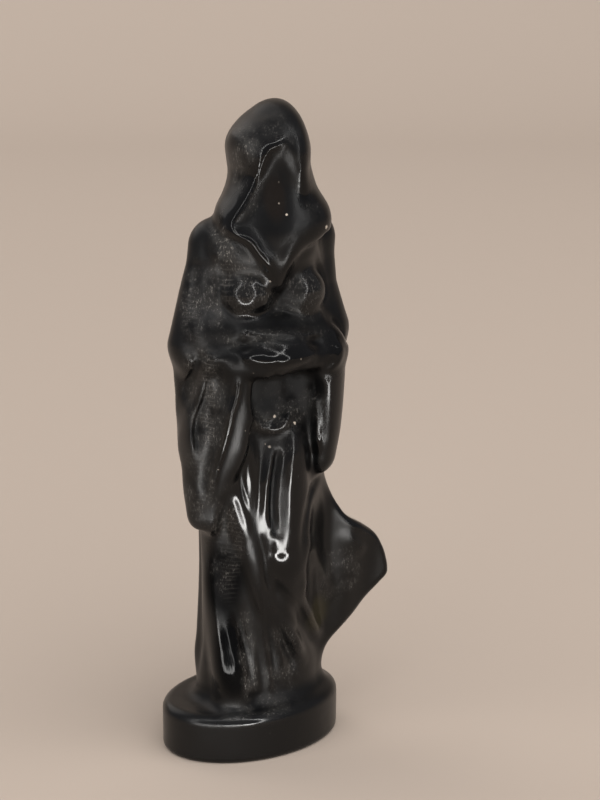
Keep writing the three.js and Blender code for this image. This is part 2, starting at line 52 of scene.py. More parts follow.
# gown and torso: height, middle x, middle y, half-width, half-depth
GOWN = [
    (5, 2.2, 1.6, 11.0, 8.6), (12, 1.8, 1.3, 10.4, 7.0), (20, 1.8, 0.9, 9.7, 6.2),
    (30, 1.8, 0.4, 9.7, 6.6), (40, 1.9, 0.2, 9.9, 7.5), (50, 1.9, 0.4, 9.4, 7.0),
    (58, 1.9, 0.6, 8.6, 6.4), (66, 1.9, 0.8, 7.8, 6.2)]
TORSO = [
    (60, 1.9, 0.8, 7.8, 6.4), (68, 1.9, 0.8, 8.0, 6.2), (76, 2.1, 0.6, 9.0, 6.8),
    (84, 2.6, 0.6, 9.6, 6.8), (92, 3.0, 0.6, 7.4, 6.0)]

# hanging sleeves: height, middle x, middle y, half-length, half-thickness, turn in degrees
RIGHT_SLEEVE = [
    (72, -5.6, -3.8, 6.4, 3.0, -52), (62, -6.2, -4.2, 5.8, 2.8, -52),
    (55, -6.9, -3.8, 5.9, 2.7, -50), (52.3, -7.4, -3.5, 5.6, 2.6, -49),
    (48, -8.1, -3.0, 4.4, 2.5, -48),
    (42, -8.7, -2.6, 2.9, 2.2, -45), (36, -8.8, -2.6, 2.2, 2.0, -45)]
LEFT_SLEEVE = [
    (73, 11.8, -5.0, 5.2, 3.3, 70), (64, 12.1, -4.9, 5.0, 2.9, 70),
    (56, 11.9, -4.6, 4.4, 2.6, 70), (49, 11.4, -4.2, 3.4, 2.1, 70),
    (44, 11.2, -4.2, 2.8, 1.8, 70)]

# hood: two rounded crowns, and the cloth that falls from them to the collar
CROWN_BACK = (3.9, 0.6, 99.4), (5.6, 6.6, 9.2)
CROWN_FRONT = (5.4, -0.9, 101.3), (3.9, 8.8, 8.0)
COWL = [
    (106, 2.7, -0.8, 5.0, 6.4), (102, 3.0, -0.8, 6.1, 7.8), (100, 3.1, -0.8, 5.8, 7.9),
    (98, 3.8, -0.9, 6.25, 8.1), (95, 3.9, -1.1, 7.6, 8.4), (92.5, 3.7, -1.5, 8.9, 8.7),
    (90, 3.3, -1.9, 9.2, 8.9), (87, 2.8, -2.0, 7.6, 8.6), (84, 2.5, -2.0, 5.0, 8.2),
    (81, 2.3, -2.0, 3.4, 7.9)]
# the lobe where the hood's right edge swells out beside the veil
LOBE = (8.2, -5.2, 90.6), (3.6, 4.2, 3.6)
# outline of the hood's opening seen from the front, as x and z
OPENING = [
    (3.7, 103.7), (2.2, 103.1), (1.0, 102.6), (0.4, 101.6), (-0.1, 100.2), (-0.5, 98.5),
    (-1.2, 96.6), (-2.1, 95.0), (-3.2, 93.5), (-4.0, 92.3), (-4.6, 91.1), (-4.4, 90.0),
    (-3.6, 89.5), (-2.7, 89.0), (-1.9, 88.2), (-1.1, 86.9), (0.0, 85.5), (1.4, 83.0),
    (2.6, 82.2), (3.4, 83.1), (3.5, 84.8), (4.0, 86.1), (5.0, 87.2), (6.2, 87.9),
    (7.6, 88.4), (9.2, 89.3), (9.8, 90.6), (9.2, 92.0), (8.0, 93.8), (7.1, 96.0),
    (6.4, 98.3), (5.7, 100.5), (4.8, 102.4)]
# the veil: a gently curved face that slopes forward going down and looks to the right
VEIL_MIDDLE, VEIL_TOP, VEIL_TOP_Y = 3.7, 103, -6.5
VEIL_LEAN, VEIL_TURN, VEIL_CURVE = 0.20, -0.30, 44.0
RIM_ROUND, RIM_HEIGHT = 1.0, 0.5
# the veil never lies deeper than this behind the hood's own surface, by height
VEIL_DEPTH = [(80, 0.36), (84, 0.48), (88, 0.84), (94, 1.2), (98, 1.2), (102, 0.96), (106, 0.6)]

# edge of the train: height and x
TRAIN_EDGE = [
    (6, 13.4), (11, 13.0), (14, 14.2), (17, 17.2), (19.5, 20.0), (22, 22.2), (24.5, 24.4),
    (27, 25.9), (29, 25.7), (31.5, 25.0), (34, 23.6), (36.2, 20.9), (38, 18.1), (40, 16.6),
    (42.5, 15.2), (46, 13.6), (54, 11.0)]

# drapery below the waist, as points and radii: two narrow folds over the right thigh, the longer
# one sweeping across to the left foot; the rolled edge beside them; the round fold that hangs in
# the middle; and the fold that runs out over the right foot
DRAPERY = [
    [(-5.5, -3.2, 54.0, 1.2), (-4.9, -4.2, 49.8, 1.7), (-4.2, -4.5, 46.2, 1.9), (-3.1, -5.0, 41.8, 1.9),
     (-2.1, -5.5, 38.0, 1.8), (-1.3, -6.0, 34.6, 1.7), (-0.5, -6.0, 30.8, 1.6), (0.7, -5.6, 27.4, 1.6),
     (2.4, -5.2, 24.6, 1.5), (4.6, -4.8, 21.4, 1.4), (6.6, -4.2, 17.8, 1.2), (7.6, -2.8, 14.6, 1.0)],
    [(-2.4, -4.6, 57.0, 1.0), (-2.1, -5.6, 53.1, 1.2), (-1.9, -5.7, 48.8, 1.2), (-1.6, -5.6, 45.0, 1.1),
     (-1.4, -5.0, 41.0, 0.9)],
    [(2.2, -5.4, 54.0, 0.7), (1.5, -5.9, 50.6, 0.9), (0.9, -6.1, 47.7, 1.0), (0.7, -6.1, 44.4, 1.1),
     (0.8, -5.75, 41.4, 1.5), (0.9, -5.8, 38.4, 1.6), (1.2, -6.4, 34.6, 1.2), (1.6, -6.6, 31.0, 1.0),
     (2.0, -5.6, 27.0, 0.9)],
    [(5.9, -2.0, 61.5, 2.4), (5.4, -3.9, 57.5, 2.9), (5.3, -4.4, 53.0, 3.5), (4.9, -4.6, 48.6, 3.8),
     (4.6, -4.7, 44.4, 4.0), (4.3, -4.95, 40.4, 4.1), (4.2, -5.2, 36.4, 4.1), (4.1, -5.3, 33.6, 4.0),
     (4.4, -4.2, 29.0, 3.6), (5.0, -2.8, 23.0, 3.0)],
    [(-6.3, -1.4, 33.0, 1.4), (-5.8, -1.4, 28.4, 2.1), (-5.1, -1.7, 23.5, 2.8), (-4.6, -2.6, 18.5, 3.2),
     (-4.3, -3.4, 14.4, 3.4), (-4.2, -3.7, 11.4, 3.4), (-4.2, -3.1, 8.0, 3.2)],
]

# folds seen from the front: line as x and z, height (a groove is negative), width to the
# left and right of the line going down, share of its length that fades in and out, and how
# far back it reaches
FOLDS = [
    # edge of the cloak over the right breast
    ([(-7.2, 87.5), (-7.0, 83.6), (-7.4, 79.3), (-6.4, 76.2), (-5, 74.4)],
     0.5, (2.4, 1.1), (0.25, 0.25), 2),
    # groove down the right upper arm
    ([(-8.6, 85.3), (-9.1, 83.1), (-9.4, 80.8), (-9.5, 78.5), (-9.7, 76.1)],
     -0.4, (0.7, 0.9), (0.2, 0.2), 3),
    # edge of the cloak over the left breast
    ([(9.2, 86), (11.2, 83.6), (12.4, 80.5), (12.4, 77.8), (10.6, 75.2)],
     0.45, (0.7, 1.8), (0.25, 0.25), 2),
    # upper edge of the crossed sleeves
    ([(-5.3, 74.6), (-3.4, 74.2), (-0.9, 74), (1.7, 74.1), (4.4, 73.7), (7.5, 73.3), (10.2, 72.6)],
     0.55, (0.9, 0.9), (0.15, 0.15), 2),
    # groove along the crossed sleeves
    ([(-9.1, 71.9), (-4.9, 71.9), (0.3, 71.5), (6.4, 71.3), (10, 71.2)],
     -0.45, (1.0, 1.0), (0.25, 0.2), 2),
    # right sleeve: outer ridge
    ([(-10.3, 70.7), (-11.1, 68.8), (-11.2, 66.2), (-11.6, 63.6), (-11.6, 60.8), (-11.5, 57.3),
      (-11.4, 53.5), (-11.2, 50.6)], 0.5, (1.2, 0.7), (0.12, 0.25), 4),
    # right sleeve: groove inside the outer ridge
    ([(-9.1, 70.9), (-10.1, 68.6), (-10.4, 65.7), (-10.9, 62.9), (-11, 60.1)],
     -0.4, (0.8, 0.8), (0.15, 0.35), 4),
    # right sleeve: second ridge
    ([(-8.3, 71), (-8.9, 65.9), (-10, 61.1), (-11, 55.4), (-11.5, 49.4)],
     0.9, (1.3, 0.8), (0.12, 0.3), 4),
    # right sleeve: deep groove inside the second ridge
    ([(-8, 70.6), (-8.5, 68.2), (-8.6, 65.4), (-9.1, 62.7), (-9.9, 59.5), (-10.4, 56.4),
      (-10.9, 52.9)], -1.0, (0.7, 0.8), (0.12, 0.35), 4),
    # right sleeve: third ridge
    ([(-7.3, 71), (-8, 69.1), (-7.9, 66.5), (-8, 64.5), (-8.5, 62.5), (-9.1, 60.1), (-9.5, 57.7),
      (-10.2, 54.2)], 0.35, (1.0, 1.0), (0.12, 0.35), 4),
    # right sleeve: groove inside the third ridge
    ([(-6.7, 70.5), (-7.3, 68.2), (-7.4, 64.9), (-8, 62.3), (-8.5, 59.6), (-9.1, 56.8), (-9.6, 54)],
     -0.9, (0.8, 0.8), (0.2, 0.35), 4),
    # right sleeve: fourth ridge
    ([(-6.2, 65.6), (-6.9, 62.7), (-7.5, 60.1), (-8.2, 57.3), (-8.7, 54.5), (-9.4, 51.7),
      (-9.9, 48.9), (-10.3, 46.1), (-10.7, 43.2)], 0.35, (1.3, 1.3), (0.2, 0.2), 4),
    # right sleeve: groove inside the fourth ridge
    ([(-5.7, 67.9), (-6.1, 64.8), (-6.7, 62.1), (-7.3, 59.4), (-7.9, 56.7), (-8.5, 53.9),
      (-9, 50.8), (-9.4, 47.6), (-9.5, 44.8)], -0.8, (0.9, 0.7), (0.2, 0.25), 4),
    # right sleeve: inner ridge
    ([(-5, 67.6), (-5, 65.1), (-5.5, 62.8), (-6.1, 60.7), (-6.4, 58.7), (-6.9, 56.3), (-7.5, 53.8),
      (-8.2, 50.8), (-8.5, 47.3), (-8.7, 44.1)], 0.7, (0.9, 0.7), (0.12, 0.3), 4),
    # left sleeve: inner ridge
    ([(9.4, 63), (8.9, 61.5), (9, 59.3), (9.1, 57.3), (9.2, 54.6), (9.4, 51.8)],
     0.6, (0.7, 0.8), (0.15, 0.3), 4),
    # left sleeve: groove between the ridges
    ([(9.1, 65.8), (9.3, 62.7), (9.6, 59.7), (9.9, 56.6), (10.3, 53)],
     -0.45, (0.9, 0.9), (0.2, 0.25), 4),
    # left sleeve: outer ridge
    ([(10.9, 66.5), (10.5, 64.3), (10.5, 62.1), (10.5, 59.2), (10.7, 55.6), (10.9, 52)],
     0.2, (0.9, 1), (0.12, 0.3), 5),
    # rim of the hollow under the waist
    ([(-2.9, 63.4), (-2.3, 61.2), (-1.4, 59.2), (-0.2, 57.6), (1.5, 57), (3.2, 57.5), (4.4, 59.2),
      (5.4, 61.2), (6.2, 63.0)], 0.55, (1.2, 0.8), (0.3, 0.3), 2),
    # the hollow itself
    ([(1.4, 67), (1.5, 63.5), (1.7, 58.8)], -0.7, (3.2, 3.2), (0.3, 0.45), 2),
    # groove between the hanging folds
    ([(3.0, 54.2), (2.4, 51.0), (1.9, 48.5), (1.5, 45.2), (1.5, 41.7), (1.7, 38.5)],
     -0.6, (0.5, 0.6), (0.15, 0.25), 2),
    # ridge down the left side of the gown
    ([(10.5, 50.6), (9.6, 46.6), (8.7, 43.4), (7.9, 40.2), (7.3, 36.7), (7.1, 31.4), (7.3, 26)],
     0.5, (1.6, 1.6), (0.4, 0.6), 2),
    # ridge down the right side of the gown
    ([(-8.0, 46), (-7.9, 40), (-7.6, 35), (-7.5, 30), (-7.4, 25), (-7.3, 20), (-7.2, 15),
      (-7.0, 12)], 0.5, (0.7, 1.6), (0.2, 0.1), 2),
    # groove beside the toe
    ([(-4.6, 28), (-3.7, 24.2), (-3.1, 21), (-2.7, 17.6), (-2.5, 14), (-2.4, 11)],
     -0.4, (0.9, 0.9), (0.3, 0.2), 2),
    # skirt: short ridge beside the right foot
    ([(-2.4, 27), (-1.6, 22), (-1.0, 17.5), (-0.7, 13.5), (-0.6, 10)], 0.3, (0.9, 1.0), (0.5, 0.1), 2),
    # skirt: long ridge down the middle
    ([(-1.6, 32), (-1.0, 28.9), (-0.5, 25.8), (0.4, 20.6), (1.1, 16.6), (1.5, 12.6), (1.7, 9.6)],
     0.4, (0.8, 0.6), (0.6, 0.1), 2),
    # skirt: groove left of the long ridge
    ([(-0.4, 32), (0.6, 26.8), (1.6, 22.4), (2.4, 18), (3.0, 13.6)], -0.45, (0.6, 0.8), (0.4, 0.25), 2),
    # skirt: ridge that sweeps to the left
    ([(-0.6, 30), (0.6, 26.0), (1.7, 22.5), (2.8, 19), (3.7, 15.4), (4.4, 12)],
     0.5, (0.9, 0.9), (0.5, 0.2), 2),
    # skirt: groove under the sweeping ridge
    ([(1.2, 26.6), (2.7, 23.1), (4.2, 19.5), (5.7, 15.8), (6.5, 12.7)],
     -0.45, (0.8, 0.9), (0.25, 0.2), 2),
    # long groove towards the train
    ([(0.3, 33.9), (1.4, 31.3), (3.1, 28.8), (5.3, 26.2), (7.6, 22.9), (9.9, 18.8), (12.7, 13.8)],
     -0.6, (1.2, 1.2), (0.25, 0.25), 4),
    # crease where the train leaves the gown
    ([(12.3, 46.4), (9.8, 45.7), (8.3, 44.2), (7.3, 42.1), (6.7, 39.5), (6.4, 36.4), (6.6, 32.7)],
     -0.5, (0.9, 1.0), (0.12, 0.4), 7),
    # train: lower ridge
    ([(7.4, 33.5), (7.5, 30.2), (8.1, 26.7), (9.4, 23.2), (12.5, 17.9), (13.4, 15.2)],
     0.6, (1.2, 1.3), (0.25, 0.25), 7),
    # train: middle ridge
    ([(8.2, 39), (9.3, 36.1), (12.4, 31), (13.3, 27.8), (14.3, 24.8), (15.4, 22.2)],
     0.6, (1.3, 1.4), (0.2, 0.25), 7),
    # train: upper ridge
    ([(16.4, 36.4), (17.8, 34.8), (19.1, 33.3), (20.5, 32.1), (22.0, 31.0)],
     0.4, (1.8, 0.9), (0.5, 0.3), 7),
    # streak down the crown
    ([(-3.0, 106.0), (-2.4, 104.0), (-2.2, 101.5), (-2.5, 98.4)], 0.3, (0.7, 0.9), (0.3, 0.3), 1),
    # line on the left edge of the veil
    ([(5.3, 101.0), (6.4, 98.0), (7.6, 94.2)], 0.25, (1.0, 1.2), (0.3, 0.3), 0),
    # line down the right shoulder, beside the hood
    ([(-7.1, 90.6), (-7.0, 87.4), (-6.6, 84.4)], 0.3, (0.6, 0.9), (0.3, 0.3), 2),
    # shallow dip between the hands
    ([(-1.4, 72.0), (0.5, 70.8), (1.2, 69.0)], -0.14, (1.1, 1.1), (0.2, 0.3), 0),
    # round end of the left elbow
    ([(10.8, 71.8), (12.1, 71.0), (12.5, 69.6), (11.8, 68.0), (10.2, 67.1), (8.8, 67.2)],
     0.3, (0.7, 0.8), (0.25, 0.3), -1),
    # crease outside the left elbow
    ([(12.0, 74.6), (13.6, 73.6), (14.6, 71.8), (14.4, 69.6)], -0.35, (0.5, 0.6), (0.25, 0.3), 6),
    # short line on the right sleeve
    ([(-7.1, 69.2), (-7.6, 66.5), (-8.1, 63.0)], 0.2, (0.6, 0.7), (0.25, 0.3), 4),
]

# broad upright folds of the cloak behind: how many go round, and their height at the hem and
# at the shoulders
BACK_FOLDS, BACK_HEM, BACK_SHOULDER = 7.0, 1.5, 0.9

# size of one cell of the surface; the cells are taller than wide, as the folds run upright
CELL, CELL_TALL = 0.36, 0.5
# the space that the cells fill, and how many cells are worked out at once along each side
SPACE_LOW, SPACE_HIGH = (-18.0, -17.0, -CELL_TALL / 2), (26.5, 14.5, 112.0)
BLOCK = 24
# how far inside the surface the corners lie that close a gap
GAP_FILL = 0.01
# half the width over which the slope is taken: to settle the vertices, and to shade them
SETTLE_REACH, SHADE_REACH = 0.05, 0.3


def join(a, b, k):
    # two forms as one, with their meeting line rounded over a width
    h = np.maximum(k - np.abs(a - b), 0) / k
    return np.minimum(a, b) - h * h * k * 0.25


def meet(a, b, k):
    # what two forms have in common, with its edge rounded over a width
    return -join(-a, -b, k)


def ease(t):
    t = np.clip(t, 0, 1)
    return t * t * (3 - 2 * t)


def level(rows, column, at):
    # smooth value of one column of a table at a height
    r = np.array(rows, float)
    if r[0, 0] > r[-1, 0]:
        r = r[::-1]
    ts, vs = r[:, 0], r[:, column]
    rise = np.diff(vs) / np.diff(ts)
    slope = np.concatenate([rise[:1], (rise[1:] + rise[:-1]) / 2, rise[-1:]])
    slope[1:-1][rise[1:] * rise[:-1] <= 0] = 0
    i = np.clip(np.searchsorted(ts, at) - 1, 0, len(ts) - 2)
    h = ts[i + 1] - ts[i]
    s = np.clip((at - ts[i]) / h, 0, 1)
    a = (2 * s**3 - 3 * s**2 + 1) * vs[i] + (s**3 - 2 * s**2 + s) * h * slope[i]
    return a + (3 * s**2 - 2 * s**3) * vs[i + 1] + (s**3 - s**2) * h * slope[i + 1]


def oval(x, y, a, b):
    # distance to an oval with these half-widths, negative inside
    k = np.hypot(x / a, y / b)
    return k * (k - 1) / np.maximum(np.hypot(x / a**2, y / b**2), 1e-3)


def egg(x, y, z, middle, radii):
    # distance to an egg-shaped form, negative inside
    d = x - middle[0], y - middle[1], z - middle[2]
    k = np.sqrt(sum((v / r) ** 2 for v, r in zip(d, radii)))
    g = np.sqrt(sum((v / r**2) ** 2 for v, r in zip(d, radii)))
    return k * (k - 1) / np.maximum(g, 1e-3)


def column(x, y, z, rows, low, high, rounding):
    # a column of ovals that follows a table, closed between two heights
    x, y = x - level(rows, 1, z), y - level(rows, 2, z)
    if len(rows[0]) > 5:
        t = np.radians(level(rows, 5, z))
        x, y = x * np.cos(t) + y * np.sin(t), y * np.cos(t) - x * np.sin(t)
    side = oval(x, y, level(rows, 3, z), level(rows, 4, z))
    return meet(meet(side, z - high, rounding), low - z, rounding)


def limb(x, y, z, points):
    # a chain of round cones; each point is x, y, z and radius
    d = np.full(np.shape(x), 1e3)
    for a, b in zip(points, points[1:]):
        run = np.subtract(b[:3], a[:3])
        t = ((x - a[0]) * run[0] + (y - a[1]) * run[1] + (z - a[2]) * run[2]) / (run @ run)
        t = np.clip(t, 0, 1)
        dx, dy, dz = x - a[0] - t * run[0], y - a[1] - t * run[1], z - a[2] - t * run[2]
        d = np.minimum(d, np.sqrt(dx * dx + dy * dy + dz * dz) - a[3] - t * (b[3] - a[3]))
    return d


def smooth_line(points, steps, closed=False):
    # a smooth line through the points, with steps between each pair
    p = np.array(points, float)
    if closed:
        p = np.vstack([p[-1:], p, p[:2]])
    else:
        p = np.vstack([2 * p[0] - p[1], p, 2 * p[-1] - p[-2]])
    out = []
    for a, b, c, d in zip(p, p[1:], p[2:], p[3:]):
        for t in np.arange(steps) / steps:
            curl = 2 * a - 5 * b + 4 * c - d + t * (3 * (b - c) + d - a)
            out.append(b + 0.5 * t * (c - a + t * curl))
    return np.array(out + [p[-2]])


def plinth(x, y, z):
    rounding = np.where(z > PLINTH_HEIGHT / 2, PLINTH_TOP_ROUND, PLINTH_FOOT_ROUND)
    c, s = math.cos(PLINTH_TURN), math.sin(PLINTH_TURN)
    side = oval(x * c + y * s, y * c - x * s, PLINTH_LENGTH, PLINTH_DEPTH) + rounding
    tall = np.abs(z - PLINTH_HEIGHT / 2) - PLINTH_HEIGHT / 2 + rounding
    outside = np.hypot(np.maximum(side, 0), np.maximum(tall, 0))
    return np.minimum(np.maximum(side, tall), 0) + outside - rounding


def body(x, y, z):
    return join(column(x, y, z, GOWN, 2, 68, 3), column(x, y, z, TORSO, 58, 91, 4), 3)


def arms(x, y, z):
    # upper arms close to the body, forearms folded so that the hands meet at the waist
    shoulders = [(-4.7, 1, 87.1, 3.7), (11.3, 1, 87.6, 3.7)]
    upper_right = [(-5.2, 1, 85.8, 4.0), (-9.1, -0.2, 70.6, 4.3)]
    upper_left = [(11.6, 1, 86, 3.7), (11.9, 0.4, 79, 3.7), (13.1, -0.2, 71.8, 4.5),
                  (13, -0.6, 69.6, 3.8)]
    right = [(-8.4, -0.8, 69.8, 4), (-5, -6.2, 69.2, 3.2), (-0.8, -9.4, 68.9, 2.6),
             (3.4, -10.4, 69.4, 1.7)]
    left = [(12.4, -1.6, 69.8, 3.8), (10.4, -7.4, 69.4, 2.9), (6.6, -9.4, 69.2, 2.1),
            (1.8, -10.2, 68.4, 1.6)]
    d = join(limb(x, y, z, shoulders), limb(x, y, z, upper_right), 2)
    d = join(d, limb(x, y, z, upper_left), 2)
    hands = egg(x, y, z, (2.0, -9.2, 70.4), (6.6, 4.2, 3.0))
    elbow = egg(x, y, z, (10.3, -6.4, 69.6), (4.6, 3.4, 4.0))
    forearms = join(limb(x, y, z, right), limb(x, y, z, left), 0.8)
    return join(d, join(forearms, join(hands, elbow, 0.5), 0.8), 1.2)


def sleeves(x, y, z):
    # the two hanging sleeves, and the cloth that joins them to the body
    right = column(x, y, z, RIGHT_SLEEVE, 39.6, 70, 3)
    left = column(x, y, z, LEFT_SLEEVE, 48.2, 71, 3)
    behind = limb(x, y, z, [(-8.4, 1.2, 70, 3.8), (-8.2, 2.2, 60, 3.0), (-7.2, 2.4, 47, 1.6)])
    behind_left = limb(x, y, z, [(8.2, -4.0, 70, 3.6), (8.4, -3.6, 60, 3.2), (9.2, -2.6, 50, 2.2)])
    return join(np.minimum(right, left), join(behind, behind_left, 1), 1.2)


def bust(x, y, z):
    right = egg(x, y, z, (-1.8, -5.2, 79.3), (4.0, 3.9, 3.9))
    left = egg(x, y, z, (7.1, -5.2, 79.2), (4.2, 3.9, 4.3))
    chest = egg(x, y, z, (2.2, -3.6, 86.6), (8.5, 5.8, 6.4))
    between = egg(x, y, z, (1.9, -4.8, 82.8), (3.2, 4.5, 3.8))
    return join(join(join(right, left, 1.6), chest, 2.0), between, 1.0)


def sash(x, y, z):
    # roll of cloth under the bust, above the forearms, and the waist behind them
    roll = [(-7.5, -3.2, 73.2, 3.2), (-2.4, -6.6, 73.4, 2.7), (3.5, -7.4, 73.6, 2.5),
            (9, -5.6, 73.4, 2.7), (12.2, -2.4, 72.6, 3.2)]
    waist = [(-5, -4, 70.4, 3.6), (3, -5.8, 70.8, 3.4), (10, -4, 70.4, 3.6)]
    return join(limb(x, y, z, roll), limb(x, y, z, waist), 1.5)


SMOOTH_DRAPERY = [smooth_line(line, 16) for line in DRAPERY]


def drapery(x, y, z):
    # the round folds on the front of the gown, worked out only near them
    d = np.full(np.shape(x), 1e3)
    near = (x > -12) & (x < 12) & (y < 4) & (z > 8) & (z < 66)
    if near.any():
        inside = limb(x[near], y[near], z[near], SMOOTH_DRAPERY[0])
        for line in SMOOTH_DRAPERY[1:]:
            inside = join(inside, limb(x[near], y[near], z[near], line), 0.6)
        d[near] = inside
    return d


def train(x, y, z):
    # cloth blown to the figure's left: a rippled sheet, thinner to its edge
    edge = level(TRAIN_EDGE, 1, z)
    slope = (level(TRAIN_EDGE, 1, z + 0.3) - level(TRAIN_EDGE, 1, z - 0.3)) / 0.6
    ripple = 0.9 * np.sin((x - 9.5) * 0.55 + (34 - z) * 0.05) * ease((x - 8) / 4)
    middle = 2.4 + ripple - 1.6 * ease((x - 15) / 10) + 0.06 * (30 - z)
    half = 2.6 - 1.1 * ease((x - 9) / 10)
    rounding = 1.3
    out = (x - edge) / np.hypot(1, slope) + rounding
    thick = (np.abs(y - middle) - half + rounding) * 0.9
    corner = np.hypot(np.maximum(out, 0), np.maximum(thick, 0))
    sheet = np.minimum(np.maximum(out, thick), 0) + corner - rounding
    return meet(meet(meet(sheet, 4 - x, 2), z - 50, 3), 5 - z, 3)


OPENING_LINE = smooth_line(OPENING, 5, closed=True)


def opening_distance(x, z):
    # distance to the edge of the hood's opening in the front view, negative inside it
    nearest = np.full(np.shape(x), 1e6)
    inside = np.zeros(np.shape(x), bool)
    for a, b in zip(OPENING_LINE, OPENING_LINE[1:]):
        run = b - a
        t = np.clip(((x - a[0]) * run[0] + (z - a[1]) * run[1]) / (run @ run + 1e-12), 0, 1)
        nearest = np.minimum(nearest, np.hypot(x - a[0] - t * run[0], z - a[1] - t * run[1]))
        if run[1]:
            crossed = (a[1] > z) != (b[1] > z)
            inside ^= crossed & (x < a[0] + (z - a[1]) * run[0] / run[1])
    return np.where(inside, -nearest, nearest)


def hood(x, y, z):
    crown = join(egg(x, y, z, *CROWN_BACK), egg(x, y, z, *CROWN_FRONT), 2.5)
    whole = join(crown, column(x, y, z, COWL, 82, 106.4, 4), 2)
    whole = join(whole, egg(x, y, z, *LOBE), 2.5)
    near = (np.abs(x - 3) < 11) & (z > 78) & (y < 4) & (np.abs(whole) < 6)
    if near.any():
        whole = whole.copy()
        whole[near] = veiled(x[near], y[near], z[near], whole[near])
    return whole


def veil_front(x, z):
    # the veil's surface as a distance back from the front
    across = x - VEIL_MIDDLE
    fall = VEIL_TOP - z
    return VEIL_TOP_Y - VEIL_LEAN * fall + VEIL_TURN * across + across**2 / VEIL_CURVE


def veiled(x, y, z, whole):
    # the veil set back in the opening, the rounded rim, and the collar's lower edge
    m = opening_distance(x, z)
    front = ease((1 - y) / 3)
    left = ease((4.5 - x) / 3.5)
    depth = level(VEIL_DEPTH, 1, z)
    veil = join((veil_front(x, z) - y) * 0.92, whole + depth, 1.5)
    veil = meet(veil, whole - 0.3, 1.0)
    inside = ease((0.2 - m) / 2.4) * (1 - ease((x + 1.5) / 11)) * front
    rim = RIM_HEIGHT * left * np.exp(-(((m - 0.5) / RIM_ROUND) ** 2)) * front
    shaped = (whole - rim) * (1 - inside) + veil * inside
    below = ease((90.4 - z) / 1.5) * ease((-y - 2) / 2)
    skirt = (m - 1.3) * 0.7 * below - (1 - below) * 6
    return np.where(below > 0, meet(shaped, skirt, 0.8), shaped)


def fold_height(x, y, z, line, height, sides, fades, back):
    # height of one fold at each place, from the nearest part of its line
    nearest = np.full(x.shape, 1e6)
    side = np.zeros(x.shape)
    along = np.zeros(x.shape)
    run = 0.0
    for a, b in zip(line, line[1:]):
        u = b - a
        length = math.hypot(*u)
        t = np.clip(((x - a[0]) * u[0] + (z - a[1]) * u[1]) / length**2, 0, 1)
        away = np.hypot(x - a[0] - t * u[0], z - a[1] - t * u[1])
        closer = away < nearest
        nearest = np.where(closer, away, nearest)
        side = np.where(closer, u[0] * (z - a[1]) - u[1] * (x - a[0]), side)
        along = np.where(closer, run + t * length, along)
        run += length
    width = np.where(side < 0, sides[0], sides[1])
    fade = 1.0
    if fades[0]:
        fade = fade * ease(along / run / fades[0])
    if fades[1]:
        fade = fade * ease((1 - along / run) / fades[1])
    return height * np.exp(-((nearest / width) ** 2)) * fade * ease((back - y) / 2)


FOLD_LINES = [smooth_line(fold[0], 3) for fold in FOLDS]


def folded(d, x, y, z):
    # the form with each fold raised on it or cut into it, worked out only near its line
    d = d.copy()
    for line, (_, height, sides, fades, back) in zip(FOLD_LINES, FOLDS):
        reach = 2.6 * max(sides)
        low, high = line.min(0) - reach, line.max(0) + reach
        near = (x > low[0]) & (x < high[0]) & (z > low[1]) & (z < high[1])
        near &= (y < back) & (np.abs(d) < 3)
        if near.any():
            d[near] -= fold_height(x[near], y[near], z[near], line, height, sides, fades, back)
    return d


def back_folds(x, y, z):
    # height of the cloak's folds behind; they sway a little on their way down
    around = np.arctan2(x - 2, y + 2)
    sway = 0.9 * np.sin(0.05 * z + 1) + 0.7 * np.sin(3 * around + 0.04 * z)
    height = BACK_HEM + (BACK_SHOULDER - BACK_HEM) * ease(z / 80)
    here = ease((y - 1.0) / 3) * ease((13 - x) / 4) * ease((z - 9) / 8) * ease((89 - z) / 14)
    return height * here * np.cos(BACK_FOLDS * around + sway)


def figurine(px, py, pz):
    # distance to the whole carving, negative inside; x, y, z are in the figure's own place
    px, py, pz = (np.asarray(v, float) for v in np.broadcast_arrays(px, py, pz))
    x, y, z = px - FIGURE_X, py - FIGURE_Y, pz
    d = join(body(x, y, z), arms(x, y, z), 2)
    d = join(d, sleeves(x, y, z), 1.4)
    d = join(d, bust(x, y, z), 2.2)
    d = join(d, sash(x, y, z), 2.0)
    d = join(d, drapery(x, y, z), 1.3)
    d = join(d, train(x, y, z), 5)
    d = folded(join(d - back_folds(x, y, z), hood(x, y, z), 0.7), x, y, z)
    return join(d, plinth(px, py, pz), 2.6)


def sample(low, step, count):
    # the field at each corner of the grid; blocks far from the surface take one value
    field = np.empty(count, np.float32)
    axes = [low[a] + step[a] * np.arange(count[a]) for a in range(3)]
    for i in range(0, count[0], BLOCK):
        for j in range(0, count[1], BLOCK):
            for k in range(0, count[2], BLOCK):
                part = tuple(slice(s, s + BLOCK) for s in (i, j, k))
                ax = [axes[a][part[a]] for a in range(3)]
                middle = [0.5 * (v[0] + v[-1]) for v in ax]
                reach = 0.5 * math.sqrt(sum((v[-1] - v[0]) ** 2 for v in ax))
                far = float(figurine(*([v] for v in middle))[0])
                if abs(far) > 1.6 * reach + 3:
                    field[part] = far
                else:
                    field[part] = figurine(*np.meshgrid(*ax, indexing="ij"))
    return field


def shifted(field, offset):
    # the field seen from a corner of each cell, one cell shorter along each side
    return field[tuple(slice(o, n - 1 + o) for o, n in zip(offset, field.shape))]


